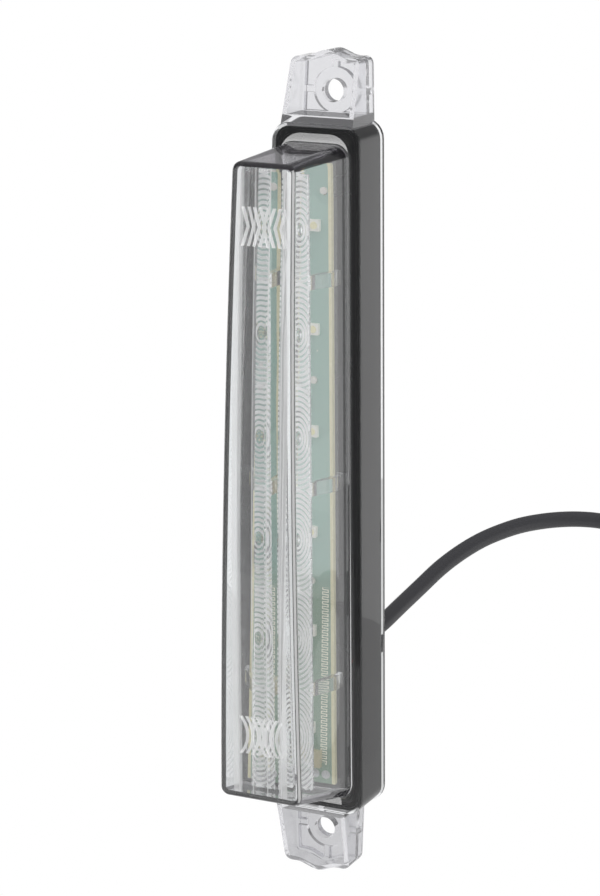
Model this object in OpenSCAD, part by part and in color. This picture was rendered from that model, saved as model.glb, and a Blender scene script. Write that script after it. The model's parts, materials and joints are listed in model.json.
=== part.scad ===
// Vertical strip position lamp: a clear one-piece cover with two screw tabs over a black
// housing, with a board of six LEDs behind a ring-lens strip, and a lead out of the back.
// The lamp stands as it is mounted: Z is up, the light leaves towards -Y, the back is y = 0.

/* [Mounting] */
// Distance from each end of the cover's skirt to the middle height of its screw hole
hole_out = 9; // [7:0.5:12]
// Diameter of each screw hole
hole_d = 6.5; // [4.5:0.1:7.5]
// Width of a mounting tab at the body
tab_w = 21.6; // [19:0.1:23]

/* [Body] */
// Length of the cover's skirt
body_len = 198; // [170:1:230]
// Width of the cover's skirt at mid height
body_w = 30; // [29:0.5:34]
// How much wider the lower end is than the upper end
body_taper = 7.2; // [0:0.2:8]
// Depth of the skirt from the back to the shoulder
body_d = 15.7; // [14:0.1:18]
// Thickness of the skirt
skirt_t = 1.1; // [0.8:0.1:1.6]

/* [Dome] */
// Height of the dome above the shoulder
dome_h = 35.4; // [30:0.2:42]
// How far the front face falls back towards its ends
front_bulge = 2.2; // [0:0.1:4]
// Thickness of the dome's walls
dome_t = 1.7; // [1.4:0.1:2.2]
// Width of each of the three upright flutes inside the front face
flute_w = 4.3; // [3.8:0.1:4.8]

/* [Light source] */
// Distance from each end of the skirt to the first ring-lens cell
strip_margin = 12; // [11.5:0.1:14]
// Width of the circuit board at mid height
board_w = 12; // [11.4:0.2:13.4]
// Height of the ring-lens strip above the board
strip_gap = 8.6; // [7:0.2:9.4]

/* [Lead] */
// Diameter of the lead
lead_d = 5; // [4.6:0.1:5.4]

/* [Hidden] */
$fn = 48;

// Body, whose middle sits above the middle of the two screw holes
hole_pitch = body_len + 2 * hole_out;
body_z = 1;
z_top = body_z + body_len / 2;
z_bot = body_z - body_len / 2;
slope = body_taper / 2 / body_len;
corner_r = 5;
lip = 0.45;
lip_d = 1.2;
shoulder_t = 1.8;
pocket_d = body_d - shoulder_t;
edge_r = 0.8;
corner_n = 6;
side_n = 13;

// Dome
foot_in = 2.9;
foot_end = 5.1;
foot_r = 4.2;
front_in = 4.1;
front_top = 6.6;
front_bot = 13.2;
front_r = 2.6;
round_r = 2;
round_n = 4;
fillet_r = 1.6;
fillet_n = 3;
front_t = 2;
bulge_z = 8;
bulge_half = 90;
flute_n = 3;
flute_h = 0.75;
flute_seg = 6;

// Tabs
tab_t = 1.4;
tab_r = 2;
tab_draft = 0.5;
tab_reach = 9.6;
wave_w = 13;
wave_h = 1.9;
tab_root_d = 14.9;
tab_tip_d = 8.4;
seat_d = 4.3;
tab_floor = 2;
boss_d = 12.8;
rib_t = 1.8;

// Chevron bars: width, spacing and height of a bar, and each patch's distance from the
// skirt's end and length
chevron_w = 0.9;
chevron_step = 1.7;
chevron_n = 4;
chevron_mid = 1.2;
chevron_h = 1;
chevron_high = 18.6;
chevron_high_len = 10.4;
chevron_high_bend = 1.5;
chevron_low = 26.6;
chevron_low_len = 10.8;
chevron_low_bend = 1.9;

// Inside
led_n = 6;
led_pitch = (body_len - 2 * strip_margin) / led_n;
fit = 0.1;
seal_w = 1;
seal_h = 0.8;
neck_d = 8;
gland_in = 1.6;
pad_hole = 1;
wall_t = 2.3;
floor_t = 2;
back_in = 0.4;
board_t = 1.6;
board_top = 16.6;
board_back = board_top - board_t;
board_margin = 10;
board_len = body_len - 2 * board_margin;
post_d = 5;
pin_d = 2;
pin_end = 7;
pin_side = 2.4;
pin_out = 0.6;
post_z = [board_len / 2 - pin_end, led_pitch, -led_pitch, pin_end - board_len / 2];
post_x = [pin_side, 0, 0, -pin_side];
led_z = [for (i = [0:led_n - 1]) ((led_n - 1) / 2 - i) * led_pitch];
led_w = 3.2;
led_h = 1.3;
strip_in = 11.5;
strip_t = 1.5;
strip_base = 1.3;
strip_y = board_top + strip_gap;
strip_end = 0.6;
ring_n = 10;
ring_h = 0.55;
leg_h = 4;
leg_t = 1.25;
leg_top = 0.9;
leg_side = 0.05;
leg_hook = 1.4;
leg_z = [2 * led_pitch, 0, -2 * led_pitch];
tongue_h = 2.6;
tongue_t = 1.2;
tongue_z = 1.7;
tongue_gap = 0.2;
pad_z = -board_len / 2 + 2.6;
pad_x = [1.6, 4.8];

// Parts on the board: distance from the LED or the pads beside each, and from the board's middle
chip_off = 7.5;
chip_x = -3.6;
resistor_off = 7;
resistor_x = -3.6;
capacitor_off = 4.7;
capacitor_x = 2.3;

// Lead
exit_z = -57.5;
gland_out = 8;
gland_rim = 2;
gland_nose = 0.8;
core_d = 1.6;
core_apart = 1;
core_sag = 1.2;
core_side = 0.3;
// The lead's free stretch, from the gland to the coil
lead_route = [[0, 8, -57.5], [0, 14, -57.5], [0.4, 20, -57.1], [1.4, 26, -55.9],
    [2.7, 32, -54.2], [3.8, 41, -51.9], [5.6, 52, -48.7], [8, 62, -45], [11, 71, -42],
    [14.2, 80, -39.9], [17.6, 88, -38.7], [21.2, 96, -38.1], [25.4, 103, -38],
    [30, 109, -38.2], [35, 114, -38.7], [40.4, 118, -39.6], [46.2, 121.2, -41.2],
    [52, 123.6, -44], [57.6, 125, -48.4], [62.4, 125.4, -54.4], [65.6, 124.8, -61.6],
    [66.8, 123.8, -70], [67, 123, -79], [67, 123, -88], [67, 123, -96]];
coil_r = 30;
coil_turns = 3;
coil_step = 5.2;
coil_edge = 1;
coil_play = 0.1;
coil_at = [67, 93, -96];
tail_x = coil_at[0] + coil_turns * coil_step;
tail_len = 34;
bare_len = 16;
end_apart = 1;
ferrule_len = 8;
tail_z = coil_at[2] - tail_len;
tie_w = 3.6;
tie_t = 1.2;
tie_play = 0.2;
tie_head = [5, 5.8, 3.4];

// Half width of the skirt at a height
function half_w(z) = body_w / 2 - slope * (z - body_z);

// Depth of the front face at a height
function front_y(z) = body_d + dome_h - front_bulge * pow((z - bulge_z) / bulge_half, 2);

// Right half of a rounded tapering outline, from its lower to its upper end, as [x, z]
function right_half(inset, low, high, r) = concat(
    [for (i = [0:corner_n]) let (a = -90 + 90 * i / corner_n)
        [half_w(low + r) - inset - r + r * cos(a), low + r + r * sin(a)]],
    [for (i = [1:side_n]) let (z = low + r + (high - low - 2 * r) * i / (side_n + 1))
        [half_w(z) - inset, z]],
    [for (i = [0:corner_n]) let (a = 90 * i / corner_n)
        [half_w(high - r) - inset - r + r * cos(a), high - r + r * sin(a)]]);
half_n = 2 * corner_n + 2 + side_n;

// The whole outline as [x, z]
function outline(inset, low, high, r) = let (h = right_half(inset, low, high, r)) concat(
    h, [for (i = [half_n - 1:-1:0]) [-h[i][0], h[i][1]]]);

// A ring of the outline at a constant depth
function flat_ring(inset, low, high, r, y) =
    [for (p = outline(inset, low, high, r)) [p[0], -y, p[1]]];

// A ring of the dome's wall, where t runs from the foot to the front, t_in thick inside and
// drawn in by t_round
function dome_ring(t, t_in, t_front, t_round) =
    let (inset = foot_in + (front_in - foot_in) * t + t_in + t_round)
    let (low = z_bot + foot_end + (front_bot - foot_end) * t + t_in + t_round)
    let (high = z_top - foot_end - (front_top - foot_end) * t - t_in - t_round)
    let (r = max(0.6, foot_r + (front_r - foot_r) * t - t_in - t_round))
    [for (p = outline(inset, low, high, r))
        [p[0], -(body_d + (front_y(p[1]) - t_front - body_d) * t), p[1]]];

// Rings that round the dome's front edge off, stepped back from the front face
function round_rings(radius, t_in, t_front, n) = [for (i = [1:n]) let (a = 90 * i / n)
    [for (p = dome_ring(1, t_in, t_front, radius * (1 - cos(a))))
        [p[0], p[1] + radius * (1 - sin(a)), p[2]]]];

// Ring number i of the fillet between the shoulder and the dome
function fillet_ring(i) = let (a = 90 * i / fillet_n)
    dome_ring(fillet_r * (1 - cos(a)) / dome_h, 0, 0, -fillet_r * (1 - sin(a)));

// Triangles of the wall between two rings of n points, the first at index a
function wall_faces(a, n, rings) = [for (k = [0:rings - 2]) for (i = [0:n - 1])
    let (p = a + k * n + i, q = a + k * n + (i + 1) % n)
    each [[p, q, q + n], [p, q + n, p + n]]];

// Triangles that close a ring, between points that mirror each other
function cap_faces(a, n) = [for (i = [0:n / 2 - 2])
    let (p = a + i, q = a + n - 1 - i) each [[p, p + 1, q - 1], [p, q - 1, q]]];
function turned(faces) = [for (f = faces) [f[0], f[2], f[1]]];

// Outer skin of the cover: lip, skirt, shoulder and dome
module cover_skin() {
    n = 2 * half_n;
    rings = concat([
        flat_ring(-lip, z_bot - lip, z_top + lip, corner_r + lip, 0),
        flat_ring(-lip, z_bot - lip, z_top + lip, corner_r + lip, lip_d),
        flat_ring(0, z_bot, z_top, corner_r, lip_d + 0.3),
        flat_ring(0, z_bot, z_top, corner_r, body_d - edge_r),
        flat_ring(edge_r * 0.3, z_bot + edge_r * 0.3, z_top - edge_r * 0.3, corner_r - edge_r * 0.3,
            body_d - edge_r * 0.3),
        flat_ring(edge_r, z_bot + edge_r, z_top - edge_r, corner_r - edge_r, body_d),
        fillet_ring(0),
        fillet_ring(1),
        fillet_ring(2),
        fillet_ring(3),
        [for (p = dome_ring(1, 0, 0, 0)) [p[0], p[1] + round_r, p[2]]]],
        round_rings(round_r, 0, 0, round_n));
    count = len(rings);
    polyhedron([for (r = rings) each r], concat(
        turned(wall_faces(0, n, count)), cap_faces(0, n), turned(cap_faces((count - 1) * n, n))));
}

// Depth that a flute adds at a distance from the middle of the front face
function flute(x) = let (u = (abs(x) / flute_w + 0.5) % 1 - 0.5)
    (abs(x) > flute_n * flute_w / 2 - 0.01) ? 0 : flute_h * (1 - 4 * u * u);

// Hollow of the cover: the housing's pocket and the room inside the dome
module cover_hollow() {
    n = 2 * half_n;
    inner_r = corner_r - skirt_t;
    last = dome_ring(1, dome_t, front_t, 0);
    rings = [
        flat_ring(skirt_t, z_bot + skirt_t, z_top - skirt_t, inner_r, -1),
        flat_ring(skirt_t, z_bot + skirt_t, z_top - skirt_t, inner_r, pocket_d),
        flat_ring(foot_in + dome_t, z_bot + foot_end + dome_t, z_top - foot_end - dome_t,
            foot_r - dome_t, pocket_d),
        dome_ring(0.02, dome_t, front_t, 0),
        last];
    count = len(rings);
    // Columns of points over the front wall, which follow the flutes
    cols = flute_n * flute_seg;
    zone = flute_n * flute_w / 2;
    grid = [for (i = [1:half_n - 2]) let (p = last[i])
        [for (j = [0:cols]) let (x = (2 * j / cols - 1) * zone, s = min(1, p[0] / (zone + 0.4)))
            [x * s, p[1] + flute(x) * fade(i), p[2]]]];
    wide = cols + 1;
    ring = (count - 1) * n;
    // Indices of the right and left wall points of a row, and of its first column
    right = [for (i = [0:half_n - 1]) ring + i];
    left = [for (i = [0:half_n - 1]) ring + n - 1 - i];
    row = [for (i = [0:half_n - 1]) count * n + (i - 1) * wide];
    t = half_n - 1;
    low_end = concat([[right[0], right[1], row[1] + cols]],
        [for (j = [cols - 1:-1:0]) [right[0], row[1] + j + 1, row[1] + j]],
        [[right[0], row[1], left[1]], [right[0], left[1], left[0]]]);
    high_end = concat([[right[t], left[t], left[t - 1]], [right[t], left[t - 1], row[t - 1]]],
        [for (j = [0:cols - 1]) [right[t], row[t - 1] + j, row[t - 1] + j + 1]],
        [[right[t], row[t - 1] + cols, right[t - 1]]]);
    front = [for (i = [1:half_n - 3]) let (a = row[i], b = row[i + 1]) each concat(
        [[right[i], right[i + 1], b + cols], [right[i], b + cols, a + cols]],
        [for (j = [0:cols - 1]) each [[a + j + 1, b + j + 1, b + j], [a + j + 1, b + j, a + j]]],
        [[a, b, left[i + 1]], [a, left[i + 1], left[i]]])];
    polyhedron(concat([for (r = rings) each r], [for (g = grid) each g]), concat(
        turned(wall_faces(0, n, count)), cap_faces(0, n), turned(concat(low_end, front, high_end))));
}

// The flutes stop short of both ends of the front face
function fade(i) = (i < corner_n + 1 || i > half_n - corner_n - 2) ? 0 : 1;

// Solid of a flat outline in X and Z, between two depths
module plate(points, from, to) {
    translate([0, -from, 0]) rotate([90, 0, 0]) linear_extrude(to - from) polygon(points);
}

// Solid of a side view in Y and Z, between two places along X
module side_plate(points, from, to) {
    translate([from, 0, 0]) rotate([90, 0, 90]) linear_extrude(to - from) polygon(points);
}

// Rod along Y between two depths, at a place in X and Z
module rod(d, x, z, from, to, d_end = 0) {
    translate([x, -from, z]) rotate([90, 0, 0]) cylinder(d1 = d, d2 = d_end > 0 ? d_end : d, h = to - from);
}

// Outline of a mounting tab, upwards from its root, with a wave in its tip
function tab_outline(inset, root) = let (r = max(0.5, tab_r - inset), w = tab_w / 2 - inset)
    let (tip = tab_reach - inset, side = w - tab_draft)
    let (right = concat([[w, root]],
        [for (i = [0:4]) let (a = 90 * i / 4) [side - r + r * cos(a), tip - r + r * sin(a)]],
        [for (i = [6:-1:0]) let (x = wave_w / 2 * i / 6)
            [x, tip + wave_h * (1 + cos(360 * x / wave_w)) / 2]]))
    concat(right, [for (i = [len(right) - 2:-1:0]) [-right[i][0], right[i][1]]]);

// Mounting tab of the upper end: walls around a floor with a screw boss and crossed ribs
module tab(root) {
    tip = tab_reach + wave_h + 1;
    difference() {
        intersection() {
            plate(tab_outline(0, root), 0, body_d);
            side_plate([[0, root], [-tab_root_d, root], [-tab_tip_d, tip], [0, tip]], -tab_w, tab_w);
        }
        plate(tab_outline(tab_t, root + 2 * tab_t), seat_d, body_d + 1);
        difference() {
            plate(tab_outline(tab_t, root + 2 * tab_t), -1, seat_d - tab_floor);
            rod(boss_d, 0, 0, -2, seat_d);
            plate([[-rib_t / 2, -tab_w], [rib_t / 2, -tab_w], [rib_t / 2, tab_w], [-rib_t / 2, tab_w]],
                0.4, seat_d);
            plate([[-tab_w, -rib_t / 2], [tab_w, -rib_t / 2], [tab_w, rib_t / 2], [-tab_w, rib_t / 2]],
                0.4, seat_d);
        }
        rod(hole_d, 0, 0, -1, seat_d + 1);
    }
}

// Small bars across the inside of the front face, bent towards its middle
module chevrons(low, high, bend, curved) {
    y_in = front_y((low + high) / 2) - front_t;
    for (side = [-1, 1], k = [0:chevron_n - 1]) {
        x = side * (chevron_mid + k * chevron_step);
        left = [for (i = [0:6]) let (u = i / 3 - 1)
            [x - side * bend * (curved ? 1 - u * u : 1 - abs(u)), low + (high - low) * i / 6]];
        plate(concat([for (p = left) [p[0] + chevron_w, p[1]]],
            [for (i = [6:-1:0]) left[i]]), y_in - chevron_h, y_in + 0.9);
    }
}

module lens_cover() {
    color([0.9, 0.92, 0.93, 0.35]) {
        difference() {
            cover_skin();
            cover_hollow();
        }
        translate([0, 0, hole_pitch / 2]) tab(z_top - hole_pitch / 2 - skirt_t * 0.7);
        mirror([0, 0, 1]) translate([0, 0, hole_pitch / 2]) tab(-z_bot - hole_pitch / 2 - skirt_t * 0.7);
        chevrons(z_top - chevron_high - chevron_high_len, z_top - chevron_high, chevron_high_bend, false);
        chevrons(z_bot + chevron_low, z_bot + chevron_low + chevron_low_len, chevron_low_bend, true);
    }
}

// Outline of the housing, drawn in by a distance
function housing_outline(inset) = let (all = skirt_t + fit + inset)
    outline(all, z_bot + all, z_top - all, corner_r - skirt_t - inset);

module housing() {
    color([0.09, 0.09, 0.1]) difference() {
        union() {
            difference() {
                plate(housing_outline(0), back_in, pocket_d);
                plate(housing_outline(wall_t), back_in + floor_t, pocket_d + 1);
                difference() {
                    plate(housing_outline((wall_t - seal_w) / 2), pocket_d - seal_h, pocket_d + 1);
                    plate(housing_outline((wall_t + seal_w) / 2), pocket_d - seal_h - 1, pocket_d + 1);
                }
            }
            for (i = [0:3]) {
                rod(post_d, post_x[i], post_z[i], back_in + floor_t - 0.5, board_back);
                rod(pin_d, post_x[i], post_z[i], board_back - 0.5, board_top + pin_out);
            }
        }
        rod(neck_d, 0, exit_z, -1, back_in + floor_t + 1);
    }
}

module seal() {
    color([0.2, 0.2, 0.21]) difference() {
        plate(housing_outline((wall_t - seal_w) / 2), pocket_d - seal_h, pocket_d);
        plate(housing_outline((wall_t + seal_w) / 2), pocket_d - seal_h - 1, pocket_d + 1);
    }
}

// Half width of the board at a height, which follows the taper of the body
function board_half(z) = half_w(z) - (body_w - board_w) / 2;

module circuit_board() {
    color([0.12, 0.42, 0.27]) difference() {
        taper_plate((body_w - board_w) / 2, -board_len / 2, board_len / 2, board_back, board_top);
        for (i = [0:3]) rod(pin_d + 2 * fit, post_x[i], post_z[i], board_back - 1, board_top + 1);
        for (x = pad_x) rod(pad_hole, x, pad_z, board_back - 1, board_top + 1);
    }
}

// LED package with its phosphor face
module led(z) {
    color([0.93, 0.92, 0.88]) {
        translate([-led_w / 2, -board_top - led_h, z - led_w / 2]) cube([led_w, led_h, led_w]);
        rod(led_w * 0.75, 0, z, board_top + led_h - 0.2, board_top + led_h + 0.3, led_w * 0.55);
    }
}

// Right half of the ridged section of the ring lens, over its base
function ring_section(n, pitch) = concat([[0, 0], [n * pitch, 0]],
    [for (k = [n:-1:1]) each [[k * pitch, strip_t], [(k - 0.5) * pitch, strip_t + ring_h]]],
    [[0, strip_t]]);

// Solid that follows the taper of the body, drawn in by a distance, between two heights
module taper_plate(inset, low, high, from, to) {
    plate([[inset - half_w(low), low], [half_w(low) - inset, low],
        [half_w(high) - inset, high], [inset - half_w(high), high]], from, to);
}

// One cell of the strip: concentric ridges about the LED's axis
module ring_cell(z) {
    intersection() {
        translate([0, -strip_y, z]) rotate([90, 0, 0])
            rotate_extrude() polygon(ring_section(ring_n + 2, led_pitch / 2 / ring_n));
        taper_plate(strip_in, z - led_pitch / 2, z + led_pitch / 2, strip_y, strip_y + 2 * strip_t);
    }
}

// Leg that stands on the board's face and hooks over its edge, at a height
function leg_section(z) = let (e = board_half(z), out = e + leg_side + leg_t)
    let (half = half_w(z) - strip_in - leg_top / 2)
    [[half - leg_top / 2, -strip_y - strip_t], [half + leg_top / 2, -strip_y - strip_t],
    [out, -board_top - leg_t], [out, leg_hook - board_back], [e + leg_side, leg_hook - board_back],
    [e + leg_side, -board_top], [e - leg_top, -board_top], [e - leg_top, -board_top - leg_t],
    [half - leg_top / 2, -strip_y]];

module optic_strip() {
    color([0.88, 0.93, 0.95, 0.5]) {
        for (z = led_z) ring_cell(z);
        for (z = leg_z, s = [0, 1]) translate([0, 0, z - leg_h / 2]) mirror([s, 0, 0])
            linear_extrude(leg_h) polygon(leg_section(z - leg_h / 2));
        // Tongues of the middle legs, which keep the strip centred in the dome
        tongue = half_w(0) - foot_in - dome_t - tongue_gap;
        for (s = [0, 1]) mirror([s, 0, 0])
            translate([board_half(0) + leg_side + leg_t / 2, -board_back - tongue_t, tongue_z - tongue_h / 2])
                cube([tongue - board_half(0) - leg_side - leg_t / 2, tongue_t, tongue_h]);
        // Base that joins the cells and closes the strip at both ends
        long = led_n * led_pitch / 2 + strip_end;
        taper_plate(strip_in, -long, long, strip_y, strip_y + strip_base);
    }
}

// Block on the board's face
module chip(x, z, w, h, t) {
    translate([x - w / 2, -board_top - t, z - h / 2]) cube([w, t, h]);
}

module capacitor() {
    color([0.75, 0.62, 0.45]) chip(capacitor_x, pad_z + capacitor_off, 2.6, 5, 1.6);
}

module protection_diode() {
    color([0.12, 0.12, 0.13]) chip(chip_x, led_z[2] + chip_off, 2.6, 4.2, 1.8);
}

module driver_chip() {
    color([0.14, 0.14, 0.15]) chip(chip_x, led_z[3] - chip_off, 4, 5, 1.4);
}

module resistor(z) {
    color([0.16, 0.16, 0.17]) chip(resistor_x, z, 1.6, 3.2, 0.6);
}

module solder_joints() {
    color([0.74, 0.75, 0.76]) for (x = pad_x) {
        rod(pad_hole, x, pad_z, board_back, board_top);
        rod(2.6, x, pad_z, board_top, board_top + 0.9, pad_hole);
    }
}

// Tube of n sides swept along a route
module tube(route, d, n) {
    last = len(route) - 1;
    rings = [for (i = [0:last])
        let (t = route[min(i + 1, last)] - route[max(i - 1, 0)])
        let (u = cross(t, [1, 0, 0]) / norm(cross(t, [1, 0, 0])), v = cross(t, u) / norm(cross(t, u)))
        [for (k = [0:n - 1]) route[i] + d / 2 * (cos(360 * k / n) * u + sin(360 * k / n) * v)]];
    polyhedron([for (r = rings) each r], concat([[for (k = [0:n - 1]) k]],
        [for (i = [0:last - 1]) for (k = [0:n - 1]) let (p = i * n + k, q = i * n + (k + 1) % n)
            each [[p, p + n, q + n], [p, q + n, q]]], [[for (k = [n - 1:-1:0]) last * n + k]]));
}

// Insulated core from the gland to its hole in the board
module board_core(x, shade) {
    start = back_in + floor_t + gland_in;
    mid = (start + board_back) / 2;
    first = x == pad_x[0] ? -core_apart : core_apart;
    color(shade) tube([[first, -start, exit_z], [first, core_sag - mid, exit_z],
        [first + core_side, -mid, exit_z - 2 * core_sag], [x, -mid - core_side, exit_z - neck_d],
        [x, -mid - core_side, pad_z + 5 * core_sag], [x, -mid, pad_z + 2 * core_sag],
        [x, -mid - core_sag, pad_z], [x, -board_back, pad_z]], core_d, 8);
}

module cable_gland() {
    color([0.1, 0.1, 0.11]) {
        rod(neck_d + 2 * gland_rim, 0, exit_z, back_in + floor_t, back_in + floor_t + gland_in);
        rod(neck_d - 2 * fit, 0, exit_z, 0, back_in + floor_t + 0.1);
        rod(lead_d + 2 * gland_nose, 0, exit_z, -gland_out, 0.1, neck_d - 2 * fit);
    }
}

module cable() {
    color([0.12, 0.12, 0.13]) tube(lead_route, lead_d, 8);
}

module cable_tail() {
    color([0.12, 0.12, 0.13]) translate([tail_x, coil_at[1] + coil_r, tail_z])
        cylinder(d = lead_d, h = tail_len);
}

// Coil of the lead's spare length, with its axis along X
module cable_coil() {
    half = lead_d / 2 + coil_play;
    low = coil_edge - half;
    high = coil_turns * coil_step + half - coil_edge;
    inner = coil_r - half;
    outer = coil_r + half;
    color([0.11, 0.11, 0.12]) difference() {
        translate(coil_at) rotate([0, 90, 0]) rotate_extrude($fn = 64)
            polygon([[inner, low], [inner + coil_edge, -half], [outer - coil_edge, -half], [outer, low],
                [outer, high], [outer - coil_edge, high + coil_edge],
                [inner + coil_edge, high + coil_edge], [inner, high]]);
        translate([coil_at[0], coil_at[1] + coil_r, coil_at[2]]) cylinder(d = lead_d, h = coil_r);
        translate([tail_x, coil_at[1] + coil_r, coil_at[2] - coil_r]) cylinder(d = lead_d, h = coil_r);
    }
}

// Tie round the turns at the top of the coil
module cable_tie() {
    wide = coil_turns * coil_step + lead_d + 2 * tie_play;
    high = lead_d + 2 * tie_play;
    x = coil_at[0] - lead_d / 2 - tie_play;
    z = coil_at[2] + coil_r - high / 2;
    color([0.1, 0.1, 0.11]) difference() {
        union() {
            translate([x - tie_t, coil_at[1] - tie_w / 2, z - tie_t])
                cube([wide + 2 * tie_t, tie_w, high + 2 * tie_t]);
            translate([x + wide / 2 - tie_head[0] / 2, coil_at[1] - tie_head[1] / 2, z + high])
                cube(tie_head);
        }
        translate([x, coil_at[1] - tie_w, z]) cube([wide, 2 * tie_w, high]);
    }
}

module end_core(side, shade) {
    color(shade) translate([tail_x, coil_at[1] + coil_r + side * end_apart, tail_z - bare_len + ferrule_len])
        cylinder(d = core_d, h = bare_len - ferrule_len);
}

module ferrule(side) {
    color([0.8, 0.8, 0.8]) translate([tail_x, coil_at[1] + coil_r + side * end_apart, tail_z - bare_len])
        cylinder(d = core_d * 0.9, h = ferrule_len);
}

lens_cover();
housing();
seal();
circuit_board();
led(led_z[0]);  // led_1
led(led_z[1]);  // led_2
led(led_z[2]);  // led_3
led(led_z[3]);  // led_4
led(led_z[4]);  // led_5
led(led_z[5]);  // led_6
optic_strip();
capacitor();
protection_diode();
driver_chip();
resistor(led_z[1] + led_pitch / 2 + resistor_off);  // resistor_1
resistor(led_z[1] - resistor_off);  // resistor_2
resistor(led_z[4] + resistor_off);  // resistor_3
solder_joints();
board_core(pad_x[0], [0.6, 0.08, 0.07]);  // core_red
board_core(pad_x[1], [0.1, 0.1, 0.1]);  // core_black
cable_gland();
cable();
cable_tail();
cable_coil();
cable_tie();
end_core(-1, [0.6, 0.08, 0.07]);  // end_core_red
end_core(1, [0.1, 0.1, 0.1]);  // end_core_black
ferrule(-1);  // ferrule_1
ferrule(1);  // ferrule_2
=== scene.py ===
"""Upright strip position lamp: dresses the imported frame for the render.

The lamp has a clear acrylic cover over a black housing, a green board with six LEDs behind a
ring-lens strip, and a round black lead that leaves its back. Sizes are in millimetres in the
dataclass fields, and turn to metres where meshes and materials are made.
"""

import json
import logging
import math
from dataclasses import dataclass
from enum import Enum
from typing import Dict, Iterable, List, Optional, Sequence, Tuple, Union

import bpy
from mathutils import Matrix, Vector

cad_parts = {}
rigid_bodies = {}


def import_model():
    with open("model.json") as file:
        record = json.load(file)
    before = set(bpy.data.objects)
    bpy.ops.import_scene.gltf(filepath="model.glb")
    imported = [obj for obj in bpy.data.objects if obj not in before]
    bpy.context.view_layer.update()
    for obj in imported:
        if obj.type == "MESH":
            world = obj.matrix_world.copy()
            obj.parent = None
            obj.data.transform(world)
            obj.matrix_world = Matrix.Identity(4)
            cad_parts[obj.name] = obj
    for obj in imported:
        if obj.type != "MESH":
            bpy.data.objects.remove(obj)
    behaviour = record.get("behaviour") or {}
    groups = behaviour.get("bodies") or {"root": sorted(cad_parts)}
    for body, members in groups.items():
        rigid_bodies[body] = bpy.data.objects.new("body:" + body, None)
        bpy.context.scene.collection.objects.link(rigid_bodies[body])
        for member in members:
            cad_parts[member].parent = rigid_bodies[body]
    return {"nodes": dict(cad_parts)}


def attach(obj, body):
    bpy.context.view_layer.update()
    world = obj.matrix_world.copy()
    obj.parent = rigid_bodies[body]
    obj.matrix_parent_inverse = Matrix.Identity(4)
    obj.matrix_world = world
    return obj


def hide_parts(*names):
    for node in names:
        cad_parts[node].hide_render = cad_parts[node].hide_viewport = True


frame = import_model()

MM = 0.001
WELD_MM = 0.002
WHITE = "#ffffff"

Point = Tuple[float, float, float]
Rgba = Tuple[float, float, float, float]
Tree = bpy.types.NodeTree
Node = bpy.types.Node
Socket = bpy.types.NodeSocket
Material = bpy.types.Material
Piece = bpy.types.Object
Value = Union[float, Rgba, Node, Socket]

# A Mix node takes its factor as input 0, its numbers as 2 and 3, and its colours as 6 and 7
NUMBERS = {"data_type": "FLOAT"}
COLOURS = {"data_type": "RGBA"}
SMOOTH = {"interpolation_type": "SMOOTHSTEP"}

log = logging.getLogger("lamp")


def linear(hex_colour: str) -> Rgba:
    """Turn an sRGB hex colour into the linear values that shaders take.

    Args:
        hex_colour: the colour as "#rrggbb".

    Returns:
        Linear red, green and blue, and full alpha.
    """
    parts = [int(hex_colour[i : i + 2], 16) / 255 for i in (1, 3, 5)]
    r, g, b = (c / 12.92 if c <= 0.04045 else ((c + 0.055) / 1.055) ** 2.4 for c in parts)
    return (r, g, b, 1.0)


def add_node(tree: Tree, kind: str, settings: Optional[Dict] = None,
             inputs: Optional[Dict] = None) -> Node:
    """Add a shader node with its settings, values and links.

    Args:
        tree: the node tree it goes into.
        kind: the node's type name, without the ShaderNode that each starts with.
        settings: attribute name to value.
        inputs: input name or number to a value, to an output to link, or to a node, which
            stands for the first output that it has in use.

    Returns:
        The new node.
    """
    node = tree.nodes.new("ShaderNode" + kind)
    for name, value in (settings or {}).items():
        setattr(node, name, value)
    for key, value in (inputs or {}).items():
        if isinstance(value, Node):
            value = next(socket for socket in value.outputs if socket.enabled)
        if isinstance(value, Socket):
            tree.links.new(value, node.inputs[key])
        else:
            node.inputs[key].default_value = value
    return node


class Than(Enum):
    """The two ways in which a mask compares a value with its limit."""

    MORE = "GREATER_THAN"
    LESS = "LESS_THAN"


def where_all(tree: Tree, tests: Iterable[Tuple[Value, Than, Value]],
              mask: Optional[Node] = None) -> Node:
    """Add the nodes of a mask that is 1 where all its tests hold, and 0 elsewhere.

    Args:
        tree: the node tree it goes into.
        tests: the value, the comparison and the limit of each test.
        mask: an earlier mask that has to hold too.

    Returns:
        The node that gives the mask.
    """
    for value, than, limit in tests:
        test = add_node(tree, "Math", {"operation": than.value}, {0: value, 1: limit})
        mask = test if mask is None else add_node(
            tree, "Math", {"operation": "MULTIPLY"}, {0: mask, 1: test})
    return mask


def deselect_all() -> None:
    """Leave nothing selected, so that an operator acts only on what is added next."""
    for obj in bpy.context.view_layer.objects:
        obj.select_set(False)


def make_active(obj: Piece) -> None:
    """Select one object alone and make it the active one.

    Args:
        obj: the object that operators are to act on.
    """
    deselect_all()
    obj.select_set(True)
    bpy.context.view_layer.objects.active = obj


def welded_copy(node: Piece, name: str) -> Piece:
    """Copy a frame's part, which is loose triangles, and merge its doubles.

    Args:
        node: the frame's object.
        name: the copy's name.

    Returns:
        The copy, which is the active object.
    """
    mesh = node.data.copy()
    mesh.name = name
    obj = bpy.data.objects.new(name, mesh)
    bpy.context.scene.collection.objects.link(obj)
    make_active(obj)
    bpy.ops.object.mode_set(mode="EDIT")
    bpy.ops.mesh.select_all(action="SELECT")
    bpy.ops.mesh.remove_doubles(threshold=WELD_MM * MM)
    bpy.ops.object.mode_set(mode="OBJECT")
    if mesh.has_custom_normals:
        bpy.ops.mesh.customdata_custom_splitnormals_clear()
    return obj


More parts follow.
